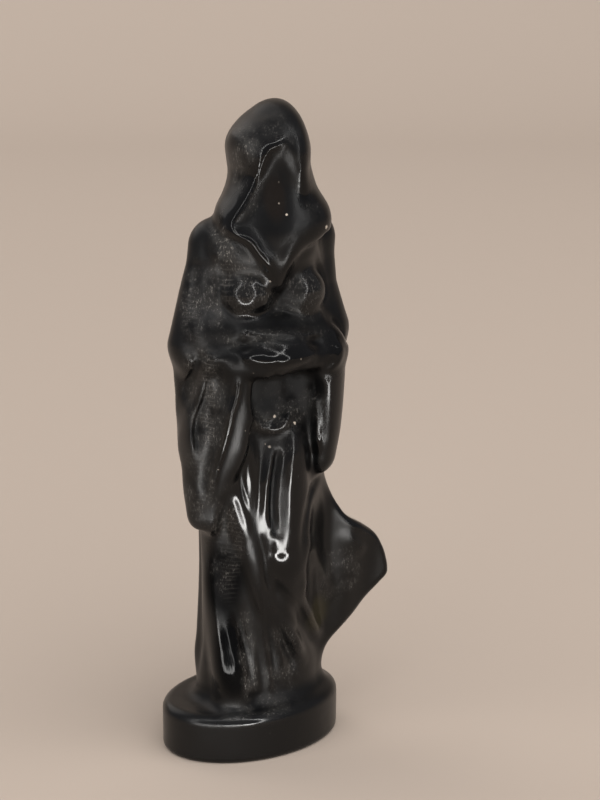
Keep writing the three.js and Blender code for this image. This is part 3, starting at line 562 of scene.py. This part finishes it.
def close_gaps(field):
    # fills the corners where two sides of a gap would touch along one edge
    changed = 0
    steps = np.eye(3, dtype=int)
    for p, q in ((0, 1), (0, 2), (1, 2)):
        a, b = shifted(field, (0, 0, 0)), shifted(field, steps[p])
        c, d = shifted(field, steps[q]), shifted(field, steps[p] + steps[q])
        one = (a < 0) & (d < 0) & (b >= 0) & (c >= 0)
        other = (b < 0) & (c < 0) & (a >= 0) & (d >= 0)
        b[one & (b <= c)] = -GAP_FILL
        c[one & (c < b)] = -GAP_FILL
        a[other & (a <= d)] = -GAP_FILL
        d[other & (d < a)] = -GAP_FILL
        changed += int(one.sum() + other.sum())
    return changed


def surface(field, low, step):
    # one vertex in each cell that the surface crosses, one quad for each crossed edge
    inside = field < 0
    cells = np.array(field.shape) - 1
    count = np.zeros(cells, np.int8)
    for i in (0, 1):
        for j in (0, 1):
            for k in (0, 1):
                count += inside[i:cells[0] + i, j:cells[1] + j, k:cells[2] + k]
    active = (count > 0) & (count < 8)
    index = np.full(cells, -1, np.int64)
    index[active] = np.arange(int(active.sum()))
    total = np.zeros((int(active.sum()), 3))
    hits = np.zeros(len(total))
    quads = []
    for axis in range(3):
        here, there = [slice(None)] * 3, [slice(None)] * 3
        here[axis], there[axis] = slice(0, -1), slice(1, None)
        here, there = tuple(here), tuple(there)
        cross = inside[here] != inside[there]
        edge = np.argwhere(cross)
        f0, f1 = field[here][cross], field[there][cross]
        point = edge.astype(float)
        point[:, axis] += f0 / (f0 - f1)
        b, c = (axis + 1) % 3, (axis + 2) % 3
        ring = []
        for db, dc in ((-1, -1), (0, -1), (0, 0), (-1, 0)):
            cell = edge.copy()
            cell[:, b] += db
            cell[:, c] += dc
            at = index[tuple(cell.T)]
            np.add.at(total, at, point)
            np.add.at(hits, at, 1)
            ring.append(at)
        ring = np.stack(ring, 1)
        outward = inside[here][cross]
        ring[~outward] = ring[~outward][:, ::-1]
        quads.append(ring)
    return total / hits[:, None] * step + low, np.concatenate(quads)


def gradient(v, reach):
    # how fast the distance grows along x, y and z at each vertex
    g = np.empty_like(v)
    for a in range(3):
        d = np.zeros(3)
        d[a] = reach
        g[:, a] = (figurine(*(v + d).T) - figurine(*(v - d).T)) / (2 * reach)
    return g


def settle(v, rounds=3):
    # draws each vertex onto the surface along the field's slope
    for _ in range(rounds):
        g = gradient(v, SETTLE_REACH)
        move = -(figurine(*v.T) / np.maximum((g * g).sum(1), 0.05))[:, None] * g
        size = np.linalg.norm(move, axis=1, keepdims=True)
        v = v + move * np.minimum(1, 0.3 / np.maximum(size, 1e-9))
    v[:, 2] = np.maximum(v[:, 2], 0)
    return v


def carve():
    # vertices and quads of the surface
    low, high = np.array(SPACE_LOW), np.array(SPACE_HIGH)
    step = np.array([CELL, CELL, CELL_TALL])
    field = sample(low, step, np.ceil((high - low) / step).astype(int) + 1)
    while close_gaps(field):
        pass
    points, quads = surface(field, low, step)
    return settle(points), quads


points, quads = carve()

# stone

STONE_COLOUR, WORN_COLOUR = (0.0020, 0.0021, 0.0023), (0.16, 0.152, 0.14)
# bare stone, and how smooth wear makes the raised edges
ROUGH_STONE, SHINE, WORN_SMOOTH = 0.30, 0.5, 0.08
# finish of each place: middle, reach along x, y and z, roughness, and how brightly it shines
FINISH = [
    # hood, veil, shoulders and arms
    ((3.5, 1, 99), (10, 12, 14), 0.36, 0.5),
    ((3.5, -8, 93), (7, 4, 10), 0.30, 0.40),
    ((-5, -6, 85), (6, 6, 8), 0.38, 0.45),
    ((-9, 0, 78), (5, 8, 14), 0.38, 0.45),
    ((13, 0, 78), (4, 8, 14), 0.36, 0.4),
    ((-9, 0, 58), (6, 8, 20), 0.34, 0.5),
    ((13, 0, 58), (5, 8, 16), 0.34, 0.4),
    ((2, -6, 73.5), (14, 6, 3), 0.38, 0.28),
    # breasts, hands and elbow
    ((-1.9, -7, 79.2), (3.6, 6, 3.4), 0.12, 0.5),
    ((7.3, -7, 79.0), (2.2, 6, 3.4), 0.11, 0.5),
    ((4.4, -7, 79.6), (2.2, 6, 3.4), 0.40, 0.25),
    ((-4, -8, 69), (7, 5, 3.2), 0.38, 0.3),
    ((6, -8, 69), (6, 5, 3.2), 0.34, 0.3),
    ((1.4, -10, 70.4), (5.5, 5, 1.8), 0.10, 0.4),
    ((11.8, -7, 69.6), (2.6, 5, 3.6), 0.10, 0.4),
    ((6.4, -8, 97.6), (1.3, 4, 4), 0.12, 0.4),
    ((9.3, -7, 57), (0.9, 5, 6), 0.10, 0.5),
    # belly, and the long lights on the drapery below it
    ((2, -7, 61), (6, 5, 7.0), 0.40, 0.22),
    ((7.0, -6, 62), (3, 5, 7), 0.42, 0.15),
    ((5.0, -7, 46), (1.6, 5, 10), 0.09, 0.5),
    ((3.4, -8, 36.0), (3.4, 5, 4.0), 0.09, 0.5),
    ((1.6, -8, 57.6), (3.6, 4, 1.4), 0.16, 0.5),
    ((0.0, -7, 44), (1.2, 5, 9), 0.09, 0.5),
    ((-3.6, -6, 43.0), (1.8, 5, 6.5), 0.09, 0.5),
    ((-2.3, -6.5, 49), (0.9, 5, 5.5), 0.09, 0.5),
    ((-5.2, -6, 18), (2.8, 5, 7.5), 0.08, 0.12),
    ((-6.2, -6, 31), (3.6, 6, 7.0), 0.42, 0.05),
    # train, and the plinth's top where the cloth runs into it
    ((16, 2, 32), (9, 5, 14), 0.30, 0.5),
    ((0, 1, 9.5), (14, 12, 2.2), 0.42, 0.4),
    ((-4, -12, 7.6), (9, 4, 1.3), 0.12, 0.8),
]
# part of the right sleeve whose ridges stay dull
DULL_SLEEVE = (-10.0, -4, 56), (2.4, 8, 12)


def blob(v, middle, reach):
    # 1 within a rounded place and 0 outside it, with a soft edge
    away = np.linalg.norm((v - np.array(middle)) / np.array(reach), axis=1)
    return ease((1.35 - away) / 0.7)


def bend(v, reach=0.6):
    # how strongly the surface curves at each vertex: positive on ridges, negative in hollows
    here = figurine(*v.T)
    total = np.zeros(len(v))
    for a in range(3):
        d = np.zeros(3)
        d[a] = reach
        total += figurine(*(v + d).T) + figurine(*(v - d).T) - 2 * here
    return total / reach**2


def rim_polish(f):
    # the rolled edge of the hood's opening, where it is handled most
    away = opening_distance(f[:, 0], f[:, 2]) - 0.4
    return np.exp(-((away / 0.8) ** 2)) * ease((5 - f[:, 0]) / 3) * ease((-2 - f[:, 1]) / 2)


def finish(v):
    # roughness and shine at each vertex: raised edges are polished by wear, hollows stay dull
    f = v - (FIGURE_X, FIGURE_Y, 0)
    rough = np.full(len(v), ROUGH_STONE)
    shine = np.full(len(v), SHINE)
    for middle, reach, roughness, brightness in FINISH:
        w = blob(f, middle, reach)
        rough = rough * (1 - w) + roughness * w
        shine = shine * (1 - w) + brightness * w
    curve = bend(v)
    handled = 0.7 * ease((curve - 0.5) / 0.9) * (1 - ease((f[:, 2] - 84) / 3))
    handled *= 1 - blob(f, *DULL_SLEEVE)
    polished = np.maximum(rim_polish(f), handled)
    rough = rough * (1 - polished) + WORN_SMOOTH * polished
    hollow = ease((-curve - 0.1) / 0.8)
    return rough + 0.12 * hollow, shine * (1 - 0.25 * hollow)


# worn and frosted places: middle, reach, and strength
FROST = [
    ((-5.6, -5, 87), (1.6, 5, 6), 0.9),
    ((-3.0, -7, 84.3), (3.4, 4, 1.6), 1.0),
    ((-7.4, -4, 79), (1.4, 5, 5), 0.8),
    ((-10.4, -3, 79), (1.6, 5, 9), 0.6),
    ((-10.6, -3, 70), (2.4, 5, 3), 0.7),
    ((-9.0, -6, 62), (2.6, 6, 8), 0.8),
    ((-10.2, -5, 48), (2.2, 6, 7), 0.5),
    ((-6.2, -6, 38), (2.6, 6, 9), 0.6),
    ((-2.4, -6, 17), (1.6, 6, 8), 0.8),
    ((4, -5, 16), (3.4, 6, 6), 0.5),
    ((3.5, -9, 60), (6.0, 5, 6), 0.5),
    ((0.0, -8, 73), (9, 5, 1.6), 0.4),
    ((-1.6, -4, 100), (1.8, 6, 7), 0.8),
    ((3.0, -7, 105), (3.0, 5, 3), 0.25),
    ((8.0, -5, 93), (2.2, 5, 4), 0.5),
    ((16, 0, 28), (4, 6, 5), 0.5),
    ((-1.9, -8, 79.6), (4, 4, 4), 0.4),
    ((6, -8, 79), (5, 4, 4), 0.35),
    ((-2, -10, 9.2), (9, 6, 1.6), 0.4),
]
# places where the carving tool left fine ribs
RIBS = [
    ((-5.4, -6, 82), (0.9, 5, 3.4), 0.8),
    ((-10.6, -3, 76), (1.2, 5, 7), 0.5),
    ((-8.8, -6, 62.5), (1.2, 6, 8), 0.8),
    ((-5.2, -6, 36), (1.8, 6, 8), 0.5),
    ((-10.4, -5, 50), (1.4, 6, 8), 0.4),
]
# small chips and grains of dust seen from the front, and at x 10.6, z 89.6 a painted highlight in the
# notch below the hood's right corner: x, z, radius, and how pale
CHIPS_AND_PAINTED_GLINT = [
    (1.9, 59.0, 0.30, 1.0), (6.0, 58.2, 0.30, 1.0), (1.0, 54.4, 0.26, 0.5), (0.4, 55.0, 0.16, 0.6),
    (-2.3, 57.0, 0.18, 0.5), (-3.1, 57.9, 0.14, 0.4), (3.0, 92.6, 0.24, 0.8), (1.9, 94.6, 0.16, 0.4),
    (0.2, 82.0, 0.16, 0.6), (-3.3, 67.5, 0.14, 0.3), (10.6, 89.6, 0.40, 0.9), (4.8, 69.8, 0.20, 0.3),
    (-7.9, 51.0, 0.16, 0.5), (2.3, 97.6, 0.12, 0.2)]
# colour of the chips, also used for the painted highlight by the hood's right corner
CHIP_AND_GLINT_COLOUR = (0.42, 0.37, 0.31)
# a faint golden sheen in the stone of the train, and a brown one in the veil
SHEEN = [((12.0, -2, 21.6), (2.6, 6, 3.0), (0.014, 0.012, 0.006)),
         ((1.7, -9, 95), (1.6, 4, 3.4), (0.0052, 0.0036, 0.0026))]


def zones(v, places):
    # strength of the strongest of several places at each vertex
    f = v - (FIGURE_X, FIGURE_Y, 0)
    total = np.zeros(len(v))
    for middle, reach, strength in places:
        total = np.maximum(total, strength * blob(f, middle, reach))
    return total * (1 - rim_polish(f))


def stone_tint(v):
    # base colour at each vertex
    f = v - (FIGURE_X, FIGURE_Y, 0)
    tint = np.tile(STONE_COLOUR, (len(v), 1))
    for middle, reach, colour in SHEEN:
        w = blob(f, middle, reach)[:, None]
        tint = tint * (1 - w) + np.array(colour) * w
    return tint


def chip_and_glint_places():
    # the chips and the painted highlight lie on the surface: each takes the depth of the front vertex
    # nearest to it
    front = points[points[:, 1] < FIGURE_Y]
    for x, z, radius, pale in CHIPS_AND_PAINTED_GLINT:
        away = np.hypot(front[:, 0] - FIGURE_X - x, front[:, 2] - z)
        near = front[away < 0.6]
        yield near[near[:, 1].argmin()] if len(near) else front[away.argmin()], radius, pale


def add(tree, kind, settings=(), **inputs):
    # adds a node; inputs are values or sockets of other nodes
    node = tree.nodes.new("ShaderNode" + kind)
    for name, value in dict(settings).items():
        setattr(node, name, value)
    for name, value in inputs.items():
        socket = node.inputs[int(name[1:])] if name[1:].isdigit() else node.inputs[name.replace("_", " ")]
        if isinstance(value, bpy.types.NodeSocket):
            tree.links.new(value, socket)
        else:
            socket.default_value = value
    return node


def maths(tree, operation, a, b=0.0):
    # the result of one sum on two values
    return add(tree, "Math", {"operation": operation}, i0=a, i1=b).outputs[0]


def stretch(tree, value, low, high):
    # brings the range between two values to 0 and 1
    return add(tree, "MapRange", {}, Value=value, From_Min=low, From_Max=high).outputs[0]


def attribute(tree, name, output="Fac"):
    return add(tree, "Attribute", {"attribute_name": name}).outputs[output]


def blend(tree, factor, a, b):
    mix = add(tree, "Mix", {"data_type": "RGBA"}, i0=factor, i6=a, i7=b)
    return mix.outputs[2]


def chips_and_painted_glint(tree, place):
    # how pale each place is for the chips and the painted highlight in it; their outlines are uneven
    shift = add(tree, "TexNoise", {}, Vector=place, Scale=3.0, Detail=2.0).outputs["Color"]
    shift = add(tree, "VectorMath", {"operation": "MULTIPLY_ADD"}, i0=shift, i1=(0.5,) * 3, i2=place)
    shift = shift.outputs[0]
    total = 0.0
    for middle, radius, pale in chip_and_glint_places():
        middle = (middle + 0.25).tolist()
        away = add(tree, "VectorMath", {"operation": "DISTANCE"}, i0=shift, i1=middle).outputs["Value"]
        inside = maths(tree, "MULTIPLY", stretch(tree, away, radius, radius * 0.5), pale)
        total = maths(tree, "MAXIMUM", total, inside)
    return total


def worn(tree, place, frost, ribs, waves, clouds):
    # how pale the worn places are: fine grains in patches, and the crests of the ribs
    upright = add(tree, "VectorMath", {"operation": "MULTIPLY"}, i0=place, i1=(1, 1, 0.45)).outputs[0]
    fine = add(tree, "TexNoise", {}, Vector=upright, Scale=3.4, Detail=4.0, Roughness=0.7).outputs[0]
    patches = stretch(tree, clouds, 0.40, 0.58)
    grains = maths(tree, "MULTIPLY", stretch(tree, fine, 0.54, 0.66), patches)
    haze = maths(tree, "MULTIPLY", patches, 0.10)
    total = maths(tree, "MULTIPLY", frost, maths(tree, "MAXIMUM", grains, haze))
    crests = maths(tree, "MULTIPLY", stretch(tree, waves, 0.6, 1.0), patches)
    crests = maths(tree, "MULTIPLY", maths(tree, "MULTIPLY", crests, ribs), 0.3)
    total = maths(tree, "MAXIMUM", total, crests)
    loose = maths(tree, "MULTIPLY", stretch(tree, fine, 0.70, 0.80), 0.5)
    return maths(tree, "MAXIMUM", total, loose)


def stone_material():
    mat = bpy.data.materials.new("polished black stone")
    mat.use_nodes = True
    tree = mat.node_tree
    shader = tree.nodes["Principled BSDF"]
    shader.inputs["IOR"].default_value = 1.38
    metres = add(tree, "TexCoord").outputs["Object"]
    place = add(tree, "VectorMath", {"operation": "SCALE"}, i0=metres, Scale=1000.0).outputs[0]
    clouds = add(tree, "TexNoise", {}, Vector=place, Scale=0.30, Detail=4.0, Roughness=0.6).outputs[0]
    grain = add(tree, "TexNoise", {}, Vector=place, Scale=1.9, Detail=5.0, Roughness=0.75).outputs[0]
    waves = add(tree, "TexWave", {"bands_direction": "Z"}, Vector=place, Scale=0.42, Distortion=9.0,
                Detail=2.0, Detail_Scale=0.35).outputs[1]
    polish, frost, ribs = (attribute(tree, name) for name in ("polish", "frost", "ribs"))
    pale = worn(tree, place, frost, ribs, waves, clouds)
    colour = blend(tree, pale, attribute(tree, "tint", "Color"), (*WORN_COLOUR, 1))
    # pale chips and dust, and one painted highlight by the hood's right corner, mixed into the base
    # colour
    chip_and_glint = chips_and_painted_glint(tree, place)
    tree.links.new(blend(tree, chip_and_glint, colour, (*CHIP_AND_GLINT_COLOUR, 1)), shader.inputs["Base Color"])
    # the polish is uneven, and the worn places are rough
    marked = maths(tree, "MULTIPLY", maths(tree, "MAXIMUM", pale, chip_and_glint), 0.35)
    rough = maths(tree, "ADD", polish, marked)
    uneven = maths(tree, "MULTIPLY", maths(tree, "SUBTRACT", clouds, 0.5), 0.10)
    rough = maths(tree, "MAXIMUM", maths(tree, "ADD", rough, uneven), 0.07)
    tree.links.new(rough, shader.inputs["Roughness"])
    tree.links.new(attribute(tree, "shine"), shader.inputs["Specular IOR Level"])
    # fine relief in millimetres: a slight swell, and the grain and ribs where there is no polish
    coarse = maths(tree, "ADD", maths(tree, "MULTIPLY", frost, 0.022), 0.004)
    relief = maths(tree, "MULTIPLY", grain, coarse)
    ribbing = maths(tree, "MULTIPLY", maths(tree, "MULTIPLY", waves, ribs), 0.014)
    relief = maths(tree, "ADD", relief, ribbing)
    relief = maths(tree, "MULTIPLY", relief, stretch(tree, polish, 0.14, 0.30))
    swell = add(tree, "TexNoise", {}, Vector=place, Scale=0.35, Detail=1.0).outputs[0]
    relief = maths(tree, "ADD", relief, maths(tree, "MULTIPLY", swell, 0.025))
    bump = add(tree, "Bump", {}, Strength=1.0, Distance=0.001, Height=relief)
    tree.links.new(bump.outputs[0], shader.inputs["Normal"])
    return mat


def add_figure():
    mesh = bpy.data.meshes.new("veiled_witch_figurine")
    mesh.from_pydata((points / 1000).tolist(), [], quads.tolist())
    mesh.update()
    mesh.polygons.foreach_set("use_smooth", [True] * len(mesh.polygons))
    polish, shine = finish(points)
    values = {"polish": polish, "shine": shine,
              "frost": zones(points, FROST), "ribs": zones(points, RIBS)}
    for name, value in values.items():
        mesh.attributes.new(name, "FLOAT", "POINT").data.foreach_set("value", value)
    tint = np.column_stack([stone_tint(points), np.ones(len(points))])
    mesh.attributes.new("tint", "FLOAT_COLOR", "POINT").data.foreach_set("color", tint.ravel())
    slope = gradient(points, SHADE_REACH)
    slope /= np.linalg.norm(slope, axis=1, keepdims=True)
    mesh.normals_split_custom_set_from_vertices(slope.tolist())
    piece = bpy.data.objects.new("veiled_witch_figurine", mesh)
    bpy.context.scene.collection.objects.link(piece)
    mesh.materials.append(stone_material())
    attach(piece, "root")
    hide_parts("veiled_figure")


add_figure()

# floor and backdrop: one sheet that turns up behind the figure

FLOOR_HALF, FLOOR_FRONT, FLOOR_BACK = 3.0, -3.0, 0.75
WALL_HEIGHT, TURN_RADIUS, TURN_STEPS = 2.5, 0.5, 24
SHEET_TURN = math.radians(-20)
PAPER_COLOUR, PAPER_ROUGHNESS = (0.30, 0.256, 0.22), 0.9


def paper_material():
    mat = bpy.data.materials.new("pale paper")
    mat.use_nodes = True
    shader = mat.node_tree.nodes["Principled BSDF"]
    shader.inputs["Base Color"].default_value = (*PAPER_COLOUR, 1)
    shader.inputs["Roughness"].default_value = PAPER_ROUGHNESS
    shader.inputs["Specular IOR Level"].default_value = 0.0
    return mat


def backdrop():
    profile = [(FLOOR_FRONT, 0), (FLOOR_BACK, 0)]
    for i in range(1, TURN_STEPS + 1):
        t = math.pi / 2 * i / TURN_STEPS
        profile.append((FLOOR_BACK + TURN_RADIUS * math.sin(t), TURN_RADIUS * (1 - math.cos(t))))
    profile.append((FLOOR_BACK + TURN_RADIUS, WALL_HEIGHT))
    verts = [(x, y, z) for y, z in profile for x in (-FLOOR_HALF, FLOOR_HALF)]
    faces = [(2 * i, 2 * i + 1, 2 * i + 3, 2 * i + 2) for i in range(len(profile) - 1)]
    mesh = bpy.data.meshes.new("backdrop")
    mesh.from_pydata(verts, [], faces)
    mesh.polygons.foreach_set("use_smooth", [True] * len(mesh.polygons))
    sheet = bpy.data.objects.new("backdrop", mesh)
    bpy.context.scene.collection.objects.link(sheet)
    sheet.matrix_world = Matrix.Rotation(SHEET_TURN, 4, "Z")
    mesh.materials.append(paper_material())


backdrop()

# light: a round band of light that faces the figure from in front

LIGHT_MIDDLE = Vector((0, 0, 0.060))
LIGHT_AZIMUTH, LIGHT_ELEVATION = math.radians(-25), math.radians(18)
LIGHT_DISTANCE, LIGHT_RADIUS, LIGHT_BAND, LIGHT_STRIPS = 0.25, 0.225, 0.009, 24
LIGHT_RADIANCE = 20.0
BAND_COLOUR, SOFT_COLOUR, ROOM_COLOUR = (1, 0.985, 0.96), (1, 0.97, 0.94), (0.27, 0.265, 0.28)
# the lowest part of the band is wider and brighter
LOW_WIDER, LOW_BRIGHTER = 2.2, 1.5
# soft lights from above: place, point they face, size, power and whether the stone mirrors them
SOFT_LIGHTS = [
    ((0.4, -0.9, 1.1), (0, 0.15, 0.05), (2.2, 1.6), 42.0, False),
    ((-1.3, -0.5, 1.0), (0, 0.15, 0.05), (1.6, 1.6), 24.0, False),
    ((0.4, 1.15, 1.3), (0.4, 1.3, 0), (2.6, 1.2), 24.0, False),
    ((-0.6, 1.0, 0.9), (0, 0, 0.05), (1.0, 1.0), 3.0, True),
]
# the strips under the horizon stand nearer, just above the floor
STRIP_FLOOR = 0.012


def band_light():
    # strips of light end to end round a circle, each facing the middle of the figure
    a, e = LIGHT_AZIMUTH, LIGHT_ELEVATION
    out = Vector((math.sin(a) * math.cos(e), -math.cos(a) * math.cos(e), math.sin(e)))
    side = Vector((math.cos(a), math.sin(a), 0))
    up = out.cross(side)
    centre = LIGHT_MIDDLE + out * LIGHT_DISTANCE
    length = 2 * math.pi * LIGHT_RADIUS / LIGHT_STRIPS
    for i in range(LIGHT_STRIPS):
        t = 2 * math.pi * i / LIGHT_STRIPS
        radial = side * math.cos(t) + up * math.sin(t)
        ray = centre + radial * LIGHT_RADIUS - LIGHT_MIDDLE
        nearer = min(1, (STRIP_FLOOR - LIGHT_MIDDLE.z) / ray.z) if ray.z < 0 else 1
        place = LIGHT_MIDDLE + ray * nearer
        z_axis = ray.normalized()
        x_axis = (up * math.cos(t) - side * math.sin(t)).normalized()
        y_axis = z_axis.cross(x_axis)
        lamp = bpy.data.lights.new("band light", "AREA")
        lamp.shape = "RECTANGLE"
        low = nearer < 1
        lamp.size, lamp.size_y = length * nearer, LIGHT_BAND * nearer * (LOW_WIDER if low else 1)
        lamp.energy = LIGHT_RADIANCE * (LOW_BRIGHTER if low else 1) * math.pi * lamp.size * lamp.size_y
        lamp.color = BAND_COLOUR
        holder = bpy.data.objects.new("band light", lamp)
        holder.matrix_world = Matrix((x_axis, y_axis, z_axis)).transposed().to_4x4()
        holder.visible_diffuse = False
        holder.location = place
        holder.visible_camera = False
        bpy.context.scene.collection.objects.link(holder)


def soft_light(place, aim, size, power, mirrored):
    # a wide light that evens out the floor and backdrop
    place, aim = Vector(place), Vector(aim)
    lamp = bpy.data.lights.new("soft light", "AREA")
    lamp.shape = "RECTANGLE"
    lamp.size, lamp.size_y = size
    lamp.energy = power
    lamp.color = SOFT_COLOUR
    holder = bpy.data.objects.new("soft light", lamp)
    holder.location = place
    holder.rotation_euler = (aim - place).to_track_quat("-Z", "Y").to_euler()
    holder.visible_camera = False
    holder.visible_glossy = mirrored
    bpy.context.scene.collection.objects.link(holder)


def room_light():
    # the faint even light of the room
    world = bpy.data.worlds.new("room")
    world.use_nodes = True
    background = world.node_tree.nodes["Background"]
    background.inputs["Color"].default_value = (*ROOM_COLOUR, 1)
    background.inputs["Strength"].default_value = 1.0
    bpy.context.scene.world = world


band_light()
for entry in SOFT_LIGHTS:
    soft_light(*entry)
room_light()

# camera

CAMERA_PLACE = Vector((-0.1035, -0.2840, 0.1430))
CAMERA_HEADING, CAMERA_DROP, CAMERA_LENS = math.radians(-21.651), math.radians(15.4), 85.14


def camera():
    data = bpy.data.cameras.new("camera")
    data.lens = CAMERA_LENS
    data.sensor_width = 36
    data.clip_start = 0.01
    eye = bpy.data.objects.new("camera", data)
    bpy.context.scene.collection.objects.link(eye)
    a, p = CAMERA_HEADING, CAMERA_DROP
    ahead = Vector((-math.sin(a) * math.cos(p), math.cos(a) * math.cos(p), -math.sin(p)))
    right = Vector((math.cos(a), math.sin(a), 0))
    turn = Matrix((right, right.cross(ahead), -ahead)).transposed().to_4x4()
    eye.matrix_world = Matrix.Translation(CAMERA_PLACE) @ turn
    bpy.context.scene.camera = eye


camera()
bpy.context.scene.view_settings.view_transform = "Standard"
